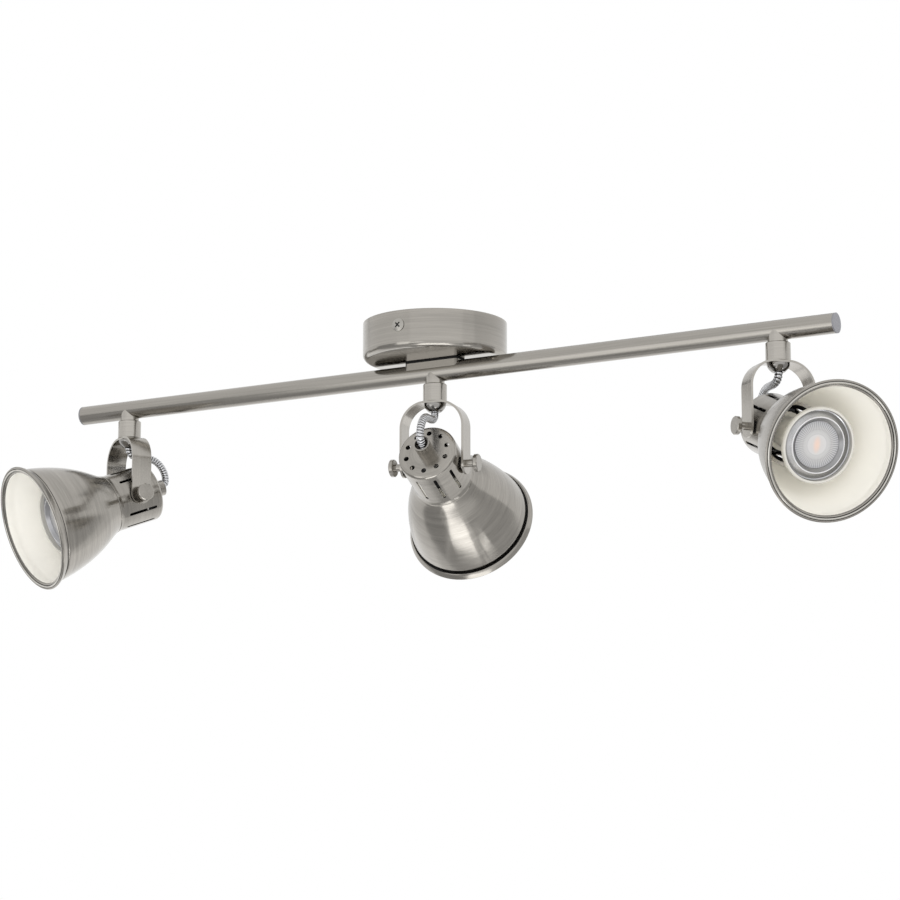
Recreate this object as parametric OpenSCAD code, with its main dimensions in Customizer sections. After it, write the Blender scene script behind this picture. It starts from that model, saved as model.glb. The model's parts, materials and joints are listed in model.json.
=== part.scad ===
// Three-light ceiling bar. A round canopy carries a straight tube, and three spot
// heads hang from the tube. Each head swivels on a hollow stem and tilts in a yoke.
// Millimetres. The origin is the middle of the ceiling face, +X runs along the tube
// and the room is at -Z.

/* [Canopy] */
// Outer diameter of the canopy
canopy_d = 100; // [94:1:120]
// Height of the canopy
canopy_h = 26; // [22:0.5:32]
// Sheet thickness of the canopy
canopy_wall = 1.2; // [0.8:0.1:1.6]
// Radius of the canopy's lower outer edge
canopy_edge_r = 4; // [2:0.5:6]
// Width of the ceiling bracket
bracket_w = 20; // [16:1:24]
// Sheet thickness of the ceiling bracket
bracket_t = 1.5; // [1:0.1:2]
// Distance between the two ceiling screw slots
slot_spacing = 54; // [48:1:60]
// Length of each ceiling screw slot
slot_l = 14; // [10:0.5:18]
// Width of each ceiling screw slot
slot_w = 5; // [4:0.1:6]
// Thread diameter of the two side screws
side_screw_d = 4; // [3:0.5:5]
// Head diameter of the two side screws
side_screw_head_d = 9; // [7:0.1:10]
// Depth of the side screws below the ceiling
side_screw_drop = 10.3; // [8:0.1:12]

/* [Bar] */
// Overall length of the bar with its end plugs
bar_length = 600; // [580:5:800]
// Outer diameter of the bar
bar_d = 13.5; // [12:0.5:16]
// Wall of the bar
bar_wall = 1.2; // [0.8:0.1:1.5]
// Gap between the canopy and the bar, which the saddle fills
bar_gap = 1.25; // [1:0.25:4]
// Length of the saddle along the bar
saddle_l = 41.5; // [37:0.5:50]
// Width of the saddle across the bar
saddle_w = 13; // [11:0.5:13.5]
// Radius of the saddle's upright corners
saddle_corner = 2; // [1:0.25:3]
// Thickness of the gasket between the saddle and the canopy
gasket_t = 0.8; // [0.5:0.1:0.9]
// Thickness of the end plug's flange
plug_flange = 1; // [0.5:0.25:2]
// Length of the end plug inside the bar
plug_depth = 9; // [6:0.5:14]
// Thread diameter of the two hollow bolts that hold the bar
bolt_d = 8; // [7:0.5:8.5]
// Distance between the two hollow bolts
bolt_spacing = 26; // [24:1:28]

/* [Swivel] */
// Distance from the bar's end in to the outer stem
stem_inset = 41.7; // [30:0.1:60]
// Diameter of the stem stub under the bar
stem_d = 13.4; // [12.6:0.1:13.4]
// Length of stem stub that shows below the bar
stem_show = 1.75; // [1:0.25:5]
// Outer diameter of the hollow swivel nipple
nipple_d = 8; // [7:0.5:9]
// Bore of the nipple and of the hollow bolts
wire_bore = 5.8; // [4.5:0.1:6]
// Diameter of the swivel collar
collar_d = 16.6; // [15:0.2:19]
// Height of the swivel collar
collar_h = 12.45; // [10:0.05:16]
// Diameter of the cup nut where it meets the yoke
cup_d = 15; // [13:0.5:16]
// Diameter of the cup nut's lower end
cup_tip_d = 8.6; // [8:0.2:10]
// Height of the cup nut
cup_h = 5.6; // [5.2:0.1:7]

/* [Yoke] */
// Width of the yoke's steel strip
strip_w = 14.7; // [12:0.1:18]
// Thickness of the yoke's steel strip
strip_t = 1.5; // [1:0.1:2]
// Distance from the top of the yoke down to the tilt pivot
yoke_drop = 44.5; // [43:0.5:52]
// Outer radius of the yoke's two bends
yoke_bend_r = 18.5; // [12:0.5:20]
// Thickness of the friction washers at the pivot
washer_t = 0.8; // [0.5:0.1:1.5]
// Diameter of the friction washers
washer_d = 10; // [8:0.5:12]
// Diameter of the thumb screw's knob
knob_d = 12.2; // [11:0.1:16]
// Thickness of the thumb screw's knob
knob_t = 3.2; // [2.5:0.1:6]
// Diameter of the thumb screw's shank between yoke and knob
shank_d = 5.3; // [5:0.1:6.5]
// Length of the thumb screw's shank between yoke and knob
shank_l = 5.8; // [4:0.1:9]
// Thread diameter of the thumb screws
thread_d = 4; // [3:0.5:4.5]

/* [Lamp housing] */
// Outer diameter of the rear cap
cap_d = 41.6; // [40:0.2:46]
// Sheet thickness of the rear cap
cap_wall = 1; // [0.6:0.1:1.4]
// Distance from the pivot back to the rear face
cap_back = 18; // [17.5:0.5:21]
// Distance from the pivot forward to the cap's mouth
cap_front = 18.2; // [16:0.1:20]
// Radius of the cap's rear edge
cap_edge_r = 2.5; // [1.5:0.25:4]
// Length of the cap's cooling slots
cool_slot_l = 23; // [16:1:25]
// Width of the cap's cooling slots
cool_slot_w = 2.2; // [1.6:0.1:3]
// Diameter of the vent holes in the rear face
vent_d = 3.6; // [2.5:0.1:4.5]
// Radius of the ring of vent holes
vent_ring_r = 14.8; // [13.5:0.1:16]
// Outer diameter of the cable tube
tube_d = 11.6; // [11:0.2:13]
// Bore of the cable tube
tube_bore = 9.4; // [8.4:0.1:9.8]
// Length of the cable tube behind the cap
tube_l = 11; // [8:0.5:12]

/* [Shade] */
// Outer diameter of the rolled rim
rim_d = 91.4; // [88:0.2:100]
// How far the rim stands out past the bell
lip_flare = 3.5; // [2.8:0.1:6]
// Distance from the pivot forward to the front of the rim
rim_front = 80.5; // [78:0.5:90]
// Length of the flared lip
lip_l = 8.5; // [7:0.5:12]
// Sheet thickness of the shade
shade_wall = 0.8; // [0.6:0.1:1.2]
// Radius of the rolled rim
roll_r = 0.85; // [0.7:0.05:1.2]

/* [Lamp] */
// Diameter of the reflector lamp
lamp_d = 49.6; // [48.4:0.2:51]
// Length of the lamp from its face to its base
lamp_l = 50.5; // [47:0.5:51]
// Depth of the lamp's face behind the rim
lamp_recess = 20.5; // [19.5:0.5:24]
// Diameter of the lamp's base
lamp_base_d = 20; // [18:0.5:24]
// Diameter of the lamp's bezel
bezel_d = 46; // [42:0.2:46.4]
// Diameter of the lamp's lens
lens_d = 30.2; // [28:0.2:34]
// Distance between the lamp's two pins
pin_spacing = 10; // [9:0.5:11]
// Diameter of the lamp's pins
pin_d = 4.8; // [4:0.1:5]
// Diameter of the lampholder
holder_d = 26; // [24:0.5:28]
// Length of the lampholder
holder_l = 14; // [11:0.5:15]
// Turn that unlocks the lamp
lamp_turn = 20; // [10:1:30]

/* [Conduit] */
// Outer diameter of the spring-clad conduit
flex_d = 5.6; // [4.5:0.1:5.6]

/* [Pose] */
// Downward tilt of the heads below horizontal
head_tilt = 21; // [15:1:25]
// Turn of the left head about its stem
left_yaw = -30.3; // [-60:0.1:0]
// Turn of the middle head about its stem
middle_yaw = 189.8; // [150:0.1:210]
// Turn of the right head about its stem
right_yaw = 49.6; // [0:0.1:80]

/* [Hidden] */
$fn = 64;
eps = 0.01;
slide = 0.05;        // gap between faces that slide or butt
turn_fit = 0.1;      // radial clearance of a part that turns on another
through_fit = 0.2;   // radial clearance of a screw's passing hole
cable_fit = 0.3;     // radial clearance of a hole that a cable passes

bar_r = bar_d / 2;
bore_r = bar_r - bar_wall;
bar_z = -(canopy_h + bar_gap + bar_r);
canopy_floor = -canopy_h + canopy_wall;
canopy_in_r = canopy_d / 2 - canopy_wall;

stem_spacing = bar_length / 2 - stem_inset;
stem_z = bar_z - bar_r - stem_show;
collar_top = stem_z - slide;
collar_low = collar_top - collar_h;
cup_top = collar_low - strip_t;
cup_low = cup_top - cup_h;
cup_floor = 2;                            // solid end of the cup nut under the nipple
nipple_top = bar_z - bore_r + 2.05;
nipple_low = cup_low + cup_floor;
pivot_z = collar_low - yoke_drop;

cap_r = cap_d / 2;
seat = 0.15;                              // how far the pivot boss stands proud of the cap
yoke_in = cap_r + seat + washer_t + 2 * slide;
yoke_out = yoke_in + strip_t;
boss_r = washer_d / 2 - 0.5;
boss_in = cap_r - cap_wall - 1.8;

lamp_face = rim_front - lamp_recess;
lamp_base = lamp_face - lamp_l;
holder_front = lamp_base - turn_fit;
holder_back = holder_front - holder_l;
pin_l = 6.5;
bezel_sink = 3;                           // how far the lens and the bezel's edge sit behind the lamp's rim
bezel_crest = 0.8;                        // how far the bezel's crest sits behind it
bezel_depth = bezel_sink + 1.4;           // depth of the bezel's seat in the lamp
lens_depth = bezel_depth + 2;             // depth of the lens's seat in the lamp

lead_d = 2.2;
leads = [-2.3, 0, 2.3];
block = [30, 14, 11];                     // terminal block
block_y = 24;

cool_steps = 10;                          // slots share this ring with the two pivots
// The conduit's route in the yoke's plane: back from the stem, and height.
flex_route = [[0, -63.2], [1.1, -65.9], [3.9, -67.9], [8.2, -68.7], [12.9, -68.8], [17.5, -69],
              [21.6, -70.5], [25.2, -73.5], [27.9, -77.5], [29.2, -81.8], [28.9, -85.8]];
flex_sides = 10;
flex_rings = 25;
tube_mouth = -cap_back - tube_l;
// The conduit's end in the head: distance ahead of the pivot, and height above the head's axis.
flex_tail = [[tube_mouth + 1.2, 1], [tube_mouth + 5, -0.4], [-cap_back - 2, -0.6],
             [-cap_back + 3, -0.1], [holder_back - 1, 0]];

SIDES = ["left", "middle", "right"];
YAWS = [left_yaw, middle_yaw, right_yaw];
STEMS = [-stem_spacing, 0, stem_spacing];
HEAD_PARTS = ["swivel_collar", "yoke", "cup_nut", "pivot_washers", "thumb_screw_a",
              "thumb_screw_b", "rear_cap", "cable_tube", "shade", "lampholder",
              "holder_bracket", "lamp_body", "lamp_bezel", "lamp_lens", "flex_conduit"];
NODES = concat(
    ["canopy", "ceiling_bracket", "canopy_screws", "bar_saddle", "saddle_gasket", "hollow_bolts",
     "bolt_nuts", "bar_tube", "end_plugs", "stem_stubs", "stem_nipples", "terminal_block", "bar_leads"],
    [for (s = SIDES, p = HEAD_PARTS) str(s, "_", p)]);
node = "all";

satin = [0.63, 0.61, 0.58];
polished = [0.75, 0.75, 0.76];
cream = [0.93, 0.91, 0.86];

// ---------------------------------------------------------------- helpers

module ring(r_out, r_in, z0, z1) {
    translate([0, 0, z0]) difference() {
        cylinder(r = r_out, h = z1 - z0);
        translate([0, 0, -1]) cylinder(r = r_in, h = z1 - z0 + 2);
    }
}

module rod_x(r, x0, x1) {
    translate([x0, 0, 0]) rotate([0, 90, 0]) cylinder(r = r, h = x1 - x0);
}

module bar_solid(r) {
    translate([0, 0, bar_z]) rod_x(r, -bar_length / 2 - 1, bar_length / 2 + 1);
}

// The yoke's frame: local X is the tilt axis, the head looks towards local -Y.
module at_stem(side) {
    translate([STEMS[side], 0, 0]) rotate([0, 0, YAWS[side]]) children();
}

// The head's frame: origin on the pivot, local Z is the optical axis, local X the tilt axis.
module at_head(side) {
    at_stem(side) translate([0, 0, pivot_z]) rotate([90 + head_tilt, 0, 0]) children();
}

// ---------------------------------------------------------------- canopy and bar

module canopy() {
    r = canopy_d / 2;
    edge = min(canopy_edge_r, canopy_h / 2);
    inner = max(edge - canopy_wall, 0.2);
    color(satin) difference() {
        rotate_extrude($fn = 128) difference() {
            cup_outline(r, canopy_h, edge);
            translate([-eps, 0]) cup_outline(r - canopy_wall + eps, canopy_h - canopy_wall, inner);
            translate([-1, -eps]) square([r - canopy_wall + 1, 1]);
        }
        for (x = [-1, 1] * bolt_spacing / 2)
            translate([x, 0, -canopy_h - 1]) cylinder(r = bolt_d / 2 + slide, h = canopy_wall + 2);
        for (a = [90, -90]) rotate([0, 0, a]) translate([0, 0, -side_screw_drop])
            rod_x(side_screw_d / 2 + through_fit, r - 4, r + 1);
    }
}

// Half outline of a cup that opens upward, from its top at zero to its rounded lower edge.
module cup_outline(r, h, edge) {
    translate([0, -h + edge]) square([r, h - edge]);
    translate([0, -h]) square([r - edge, edge + eps]);
    translate([r - edge, -h + edge]) intersection() {
        circle(r = edge);
        translate([-eps, -edge]) square([edge + eps, edge + eps]);
    }
}

ear_face = sqrt(pow(canopy_in_r, 2) - pow(bracket_w * 0.3, 2)) - 0.1;
ear_h = side_screw_drop + 6;

module ceiling_bracket() {
    color("gainsboro") difference() {
        union() {
            translate([-bracket_w / 2, -ear_face, -bracket_t]) cube([bracket_w, 2 * ear_face, bracket_t]);
            for (a = [0, 180]) rotate([0, 0, a])
                translate([-bracket_w * 0.3, ear_face - bracket_t, -ear_h])
                    cube([bracket_w * 0.6, bracket_t, ear_h]);
        }
        for (corner = [[1, 1], [1, -1], [-1, 1], [-1, -1]])
            translate([corner.x * bracket_w * 0.5 - bracket_w * 0.2, corner.y * ear_face - 5, -bracket_t - 1])
                cube([bracket_w * 0.4, 10, bracket_t + 2]);
        for (y = [-1, 1] * slot_spacing / 2) translate([0, y, -bracket_t - 1])
            slot_y(slot_l, slot_w, bracket_t + 2);
        for (a = [90, -90]) rotate([0, 0, a]) translate([0, 0, -side_screw_drop])
            rod_x(side_screw_d / 2 + slide, ear_face - bracket_t - 1, ear_face + 1);
    }
}

module slot_y(l, w, h) {
    for (y = [-1, 1] * (l - w) / 2) translate([0, y, 0]) cylinder(r = w / 2, h = h);
    translate([-w / 2, -(l - w) / 2, 0]) cube([w, l - w, h]);
}

module canopy_screws() {
    head_r = side_screw_head_d / 2;
    color(polished) for (a = [90, -90]) rotate([0, 0, a]) translate([0, 0, -side_screw_drop]) {
        rod_x(side_screw_d / 2, ear_face - bracket_t - 2, canopy_d / 2 + slide + eps);
        translate([canopy_d / 2 + slide, 0, 0]) rotate([0, 90, 0]) difference() {
            pan_head(head_r, 1.3);
            for (t = [45, 135]) rotate([0, 0, t])
                translate([-head_r * 0.5, -0.5, 0.3]) cube([head_r, 1, 2]);
        }
    }
}

module pan_head(r, h) {
    dome = h - 0.4;
    dome_r = (r * r + dome * dome) / (2 * dome);
    intersection() {
        cylinder(r = r, h = h);
        translate([0, 0, h - dome_r]) sphere(r = dome_r, $fn = 128);
    }
}

module saddle_plan() {
    flat = [saddle_l, saddle_w] - 2 * [saddle_corner, saddle_corner];
    difference() {
        union() {
            square([saddle_l, flat.y], center = true);
            square([flat.x, saddle_w], center = true);
            for (x = [-1, 1] * flat.x / 2, y = [-1, 1] * flat.y / 2)
                translate([x, y]) circle(r = saddle_corner);
        }
        for (x = [-1, 1] * bolt_spacing / 2) translate([x, 0]) circle(r = bolt_d / 2 + slide);
    }
}

module bar_saddle() {
    color(satin) difference() {
        translate([0, 0, bar_z + 2]) linear_extrude(-canopy_h - gasket_t - bar_z - 2) saddle_plan();
        bar_solid(bar_r + eps);
    }
}

module saddle_gasket() {
    color("black") translate([0, 0, -canopy_h - gasket_t]) linear_extrude(gasket_t) saddle_plan();
}

module hollow_bolts() {
    color("goldenrod") for (x = [-1, 1] * bolt_spacing / 2) translate([x, 0, 0])
        ring(bolt_d / 2, wire_bore / 2, bar_z + bore_r - 2, canopy_floor + 7);
}

module bolt_nuts() {
    color("goldenrod") for (x = [-1, 1] * bolt_spacing / 2) translate([x, 0, canopy_floor]) difference() {
        cylinder(r = bolt_d * 0.85, h = 4.5, $fn = 6);
        translate([0, 0, -1]) cylinder(r = bolt_d / 2 + slide, h = 7);
    }
}

module bar_tube() {
    half = bar_length / 2 - plug_flange;
    color(satin) difference() {
        translate([0, 0, bar_z]) rod_x(bar_r, -half, half);
        bar_solid(bore_r);
        for (x = [-1, 1] * bolt_spacing / 2)
            translate([x, 0, bar_z]) cylinder(r = bolt_d / 2 + slide, h = bar_d);
        for (x = STEMS) translate([x, 0, bar_z - bar_d]) cylinder(r = nipple_d / 2 + slide, h = bar_d);
    }
}

module end_plugs() {
    half = bar_length / 2;
    color("silver") for (a = [0, 180]) rotate([0, 0, a]) translate([0, 0, bar_z]) {
        rod_x(bar_r, half - plug_flange, half);
        difference() {
            rod_x(bore_r - slide, half - plug_flange - plug_depth, half - plug_flange + eps);
            rod_x(bore_r - 1.5, half - plug_flange - plug_depth - 1, half - plug_flange);
        }
    }
}

module stem_stubs() {
    color(satin) for (x = STEMS) translate([x, 0, 0]) difference() {
        translate([0, 0, stem_z]) cylinder(r = stem_d / 2, h = bar_z - stem_z);
        translate([0, 0, bar_z]) rod_x(bar_r + eps, -bar_d, bar_d);
        translate([0, 0, stem_z - 1]) cylinder(r = nipple_d / 2 + slide, h = bar_d * 2);
    }
}

module stem_nipples() {
    color("goldenrod") for (x = STEMS) translate([x, 0, 0])
        ring(nipple_d / 2, wire_bore / 2, nipple_low, nipple_top);
}

module terminal_block() {
    pitch = block.x / 3;
    color("ivory") translate([-block.x / 2, block_y - block.y / 2, canopy_floor]) difference() {
        cube(block);
        for (i = [0:2]) translate([(i + 0.5) * pitch, 0, 0]) {
            translate([0, block.y / 2, block.z - 4]) cylinder(r = 2.4, h = 5);
            translate([0, -1, block.z * 0.4]) rotate([-90, 0, 0]) cylinder(r = 1.6, h = block.y + 2);
        }
    }
}

module bar_leads() {
    color("saddlebrown") for (y = leads) translate([0, y, nipple_top + lead_d / 2])
        rod_x(lead_d / 2, -stem_spacing, stem_spacing);
}

// ---------------------------------------------------------------- swivel and yoke

module swivel_collar(side) {
    chamfer = 0.5;
    color(satin) at_stem(side) difference() {
        union() {
            translate([0, 0, collar_low]) cylinder(r = collar_d / 2, h = collar_h - chamfer);
            translate([0, 0, collar_top - chamfer])
                cylinder(r1 = collar_d / 2, r2 = collar_d / 2 - chamfer, h = chamfer);
        }
        translate([0, 0, collar_low - 1]) cylinder(r = nipple_d / 2 + turn_fit, h = collar_h + 2);
    }
}

// The strip's U, seen along its width, with legs that run down past the pivot.
module yoke_outline(half, top, bend) {
    low = pivot_z - strip_w / 2 - 1;
    translate([-half, low]) square([2 * half, top - bend - low]);
    translate([-half + bend, low]) square([2 * (half - bend), top - low]);
    for (s = [-1, 1]) translate([s * (half - bend), top - bend]) circle(r = bend, $fn = 96);
}

module yoke(side) {
    color(satin) at_stem(side) difference() {
        intersection() {
            rotate([90, 0, 0]) linear_extrude(strip_w, center = true) difference() {
                yoke_outline(yoke_out, collar_low, yoke_bend_r);
                yoke_outline(yoke_in, cup_top, yoke_bend_r - strip_t);
                translate([-yoke_in, pivot_z - strip_w]) square([2 * yoke_in, strip_w]);
            }
            translate([0, 0, pivot_z]) union() {
                rod_x(strip_w / 2, -yoke_out - 1, yoke_out + 1);
                translate([-yoke_out - 1, -strip_w / 2, 0]) cube([2 * yoke_out + 2, strip_w, yoke_drop + 1]);
            }
        }
        translate([0, 0, cup_top - 1]) cylinder(r = nipple_d / 2 + turn_fit, h = strip_t + 2);
        translate([0, 0, pivot_z]) rod_x(thread_d / 2 + turn_fit, -yoke_out - 1, yoke_out + 1);
    }
}

module cup_nut(side) {
    r = cup_d / 2;
    tip = cup_tip_d / 2;
    shoulder = 1.4;
    steps = 8;
    curve = [for (i = [0:steps]) let (u = i / steps)
        [tip + (r - tip) * (1 - u) + 0.5 * sin(180 * u), cup_top - shoulder - (cup_h - shoulder) * u]];
    color(polished) at_stem(side) difference() {
        intersection() {
            rotate_extrude() polygon(concat([[0, cup_top], [r, cup_top]], curve, [[0, cup_low]]));
            rotate([90, 0, 0]) linear_extrude(cup_d + 2, center = true)
                yoke_outline(yoke_in - slide, cup_top, yoke_bend_r - strip_t);
        }
        translate([0, 0, nipple_low - slide]) cylinder(r = nipple_d / 2 + slide, h = cup_h);
        translate([0, 0, cup_low - 1]) cylinder(r = flex_d / 2 + cable_fit, h = cup_h);
    }
}

module pivot_washers(side) {
    color("dimgray") at_head(side) for (a = [0, 180]) rotate([0, 0, a]) difference() {
        rod_x(washer_d / 2, cap_r + seat + slide, yoke_in - slide);
        rod_x(thread_d / 2 + turn_fit, cap_r, yoke_in);
    }
}

module thumb_screw(side, s) {
    color(satin) at_head(side) rotate([0, 0, s > 0 ? 0 : 180]) {
        rod_x(thread_d / 2, boss_in - 0.5, yoke_out + slide + eps);
        rod_x(shank_d / 2, yoke_out + slide, yoke_out + shank_l + eps);
        translate([yoke_out + shank_l, 0, 0]) rotate([0, 90, 0]) {
            cylinder(r1 = knob_d / 2 - 0.5, r2 = knob_d / 2, h = 0.5);
            translate([0, 0, 0.5]) cylinder(r = knob_d / 2, h = knob_t - 1);
            translate([0, 0, knob_t - 0.5]) cylinder(r1 = knob_d / 2, r2 = knob_d / 2 - 0.5, h = 0.5);
        }
    }
}

// ---------------------------------------------------------------- lamp housing

module rear_cap(side) {
    bead = 0.75;
    slot_mid = cool_slot_l / 2 - (cap_back - cap_edge_r - 3.4);
    color(satin) at_head(side) difference() {
        union() {
            translate([0, 0, cap_front]) rotate_extrude($fn = 96) difference() {
                cup_outline(cap_r, cap_front + cap_back, cap_edge_r);
                translate([-eps, 0]) cup_outline(cap_r - cap_wall + eps, cap_front + cap_back - cap_wall,
                                                 max(cap_edge_r - cap_wall, 0.2));
                translate([-1, -eps]) square([cap_r - cap_wall + 1, 1]);
            }
            rotate_extrude($fn = 96) polygon([
                [cap_r - eps, cap_front - 3.4], [cap_r + bead - 0.1, cap_front - 0.8],
                [cap_r + bead, cap_front - 0.5], [cap_r + bead - 0.1, cap_front - 0.2],
                [cap_r + bead - 0.4, cap_front], [cap_r - eps, cap_front]]);
            for (a = [0, 180]) rotate([0, 0, a]) rod_x(boss_r, boss_in, cap_r + seat);
        }
        for (a = [0, 180]) rotate([0, 0, a]) rod_x(thread_d / 2 + slide, boss_in - 1, cap_r + seat + 1);
        for (i = [0:cool_steps - 1]) if (i % (cool_steps / 2) != 0)
            rotate([0, 0, i * 360 / cool_steps]) translate([cap_r - 3, 0, slot_mid]) rotate([90, 0, 90])
                 slot_y(cool_slot_l, cool_slot_w, 5);
        for (i = [0:cool_steps - 1]) rotate([0, 0, (i + 0.5) * 360 / cool_steps])
            translate([vent_ring_r, 0, -cap_back - 1]) cylinder(r = vent_d / 2, h = cap_wall + 2);
        translate([0, 0, -cap_back - 1]) cylinder(r = tube_bore / 2, h = cap_wall + 2);
    }
}

module cable_tube(side) {
    color(satin) at_head(side) ring(tube_d / 2, tube_bore / 2, tube_mouth, -cap_back);
}

function bezier(p, t) = pow(1 - t, 3) * p[0] + 3 * pow(1 - t, 2) * t * p[1]
                        + 3 * (1 - t) * t * t * p[2] + pow(t, 3) * p[3];
function bezier_dir(p, t) = pow(1 - t, 2) * (p[1] - p[0]) + 2 * (1 - t) * t * (p[2] - p[1])
                            + t * t * (p[3] - p[2]);
function shifted(p, t, d) = let (v = bezier_dir(p, t)) bezier(p, t) + d * [v.y, -v.x] / norm(v);

module shade(side) {
    steps = 20;
    rim_r = rim_d / 2;
    bell_r = rim_r - lip_flare;
    start = cap_front + slide;
    bell_end = rim_front - lip_l;
    hollow_r = bell_r - 0.55;
    hollow_floor = rim_front - 2.7;
    lip_edge = rim_front - 4.9;
    mouth_r = bell_r - 1.15;
    spigot_r = cap_r - cap_wall - slide;
    spigot_l = 2.4;
    // Points are [distance ahead of the pivot, radius].
    bell = [[start + 0.6, cap_r + 1.05], [start + 8.6, cap_r + 4.3],
            [start + 18.85, bell_r - 5.8], [bell_end, bell_r]];
    outer = [for (i = [0:steps]) bezier(bell, i / steps)];
    inner = [for (i = [steps:-1:0]) shifted(bell, i / steps, shade_wall)];
    // The bell's end turns in, and the lip stands off from it around a deep hollow open to the rear.
    lip_back = [[bell_end + 1, bell_r + 0.05], [bell_end + 1.5, bell_r - 0.15], [bell_end + 1.8, hollow_r],
                [hollow_floor, hollow_r], [hollow_floor, bell_r + 1], [lip_edge + 0.2, bell_r + 1.05],
                [lip_edge, bell_r + 1.3], [lip_edge + 0.15, bell_r + 1.5], [lip_edge + 1.1, bell_r + 2.25]];
    roll = [for (a = [120:-30:-30])
        [rim_front - 0.3 - roll_r + roll_r * cos(a), rim_r - roll_r + roll_r * sin(a)]];
    // Inside the roll are a groove, a bead, a low step and the mouth.
    groove_r = rim_r - 1.5 * roll_r - 0.2;
    bead_r = groove_r - 0.8;
    bead = [for (a = [60:-30:-60]) [rim_front - 0.7 + 0.7 * cos(a), bead_r + 0.7 * sin(a)]];
    lip_front = concat([[rim_front - 1, groove_r]], bead,
        [[rim_front - 1, bead_r - 0.75], [rim_front - 0.9, (bead_r + mouth_r) / 2],
         [rim_front - 1.2, mouth_r + 0.45], [rim_front - 1.7, mouth_r + 0.3],
         [rim_front - 2, mouth_r], [bell_end + 1.8, mouth_r]]);
    spigot = [[start + shade_wall, spigot_r - shade_wall], [start - spigot_l, spigot_r - shade_wall],
              [start - spigot_l, spigot_r], [start, spigot_r],
              [start, cap_r + 0.5], [start + 0.2, cap_r + 0.85]];
    outline = concat(outer, lip_back, roll, lip_front, inner, spigot);
    color(satin) at_head(side) rotate_extrude($fn = 128) polygon([for (p = outline) [p.y, p.x]]);
}

module lampholder(side) {
    color(cream) at_head(side) difference() {
        translate([0, 0, holder_back]) cylinder(r = holder_d / 2, h = holder_l);
        for (a = [0, 180]) rotate([0, 0, a]) translate([0, 0, holder_front - pin_l - 1]) {
            rotate_extrude(angle = lamp_turn)
                translate([pin_spacing / 2 - pin_d / 2 - cable_fit, 0])
                    square([pin_d + 2 * cable_fit, pin_l + 2]);
            for (t = [0, lamp_turn]) rotate([0, 0, t])
                translate([pin_spacing / 2, 0, 0]) cylinder(r = pin_d / 2 + cable_fit, h = pin_l + 2);
        }
    }
}

module holder_bracket(side) {
    w = 12;
    t = 1;
    plate = -cap_back + cap_wall;
    leg = holder_d / 2 + slide;
    color("silver") at_head(side) {
        difference() {
            translate([-w / 2, -leg - t, plate]) cube([w, 2 * (leg + t), t]);
            translate([0, 0, plate - 1]) cylinder(r = tube_bore / 2, h = t + 2);
        }
        for (a = [0, 180]) rotate([0, 0, a])
            translate([-w / 2, leg, plate]) cube([w, t, holder_front - 3 - plate]);
    }
}

// ---------------------------------------------------------------- lamp

module lamp_body(side) {
    r = lamp_d / 2;
    base_r = lamp_base_d / 2;
    // Points are [radius, distance ahead of the pivot].
    outline = [[0, lamp_base], [base_r - 0.8, lamp_base], [base_r, lamp_base + 0.8], [base_r, lamp_base + 17],
               [r - 12, lamp_face - 26], [r - 7.6, lamp_face - 17], [r - 4.4, lamp_face - 10.5],
               [r - 1.4, lamp_face - 5.4], [r, lamp_face - 2.6], [r, lamp_face - 0.6], [r - 0.6, lamp_face],
               [bezel_d / 2 + slide, lamp_face], [bezel_d / 2 + slide, lamp_face - bezel_depth],
               [lens_d / 2 + slide, lamp_face - bezel_depth], [lens_d / 2 + slide, lamp_face - lens_depth],
               [0, lamp_face - lens_depth]];
    color(cream) at_head(side) {
        rotate_extrude($fn = 96) polygon(outline);
        for (x = [-1, 1] * pin_spacing / 2)
            translate([x, 0, lamp_base - pin_l]) cylinder(r = pin_d / 2, h = pin_l + 1);
    }
}

module lamp_bezel(side) {
    out = bezel_d / 2;
    in = lens_d / 2;
    crest_r = in + 0.35 * (out - in);
    seat_z = lamp_face - bezel_depth + eps;
    edge = lamp_face - bezel_sink;
    crest = lamp_face - bezel_crest;
    outline = [[out, seat_z], [out, edge], [out - 0.5, edge + 0.25], [out - 1.2, edge - 0.1],
               [crest_r + 0.7, crest - 0.35], [crest_r + 0.25, crest], [crest_r - 0.25, crest],
               [in + 0.25, edge], [in + 0.25, seat_z]];
    color("silver") at_head(side) rotate_extrude($fn = 96) polygon(outline);
}

module lamp_lens(side) {
    color("whitesmoke") at_head(side) translate([0, 0, lamp_face - lens_depth + eps])
        cylinder(r = lens_d / 2, h = lens_depth - bezel_sink, $fn = 96);
}

// ---------------------------------------------------------------- conduit

function on_axis(p) = [-p.x * cos(head_tilt) - p.y * sin(head_tilt),
                       pivot_z - p.x * sin(head_tilt) + p.y * cos(head_tilt)];
// The point at t along a smooth curve through a list of points, one unit of t for each step.
function along(p, t) = let (n = len(p) - 1, i = min(floor(t), n - 1), u = t - i,
    a = p[max(i - 1, 0)], b = p[i], c = p[i + 1], d = p[min(i + 2, n)])
    b + u / 2 * (c - a + u * (2 * a - 5 * b + 4 * c - d + u * (3 * (b - c) + d - a)));

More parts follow.
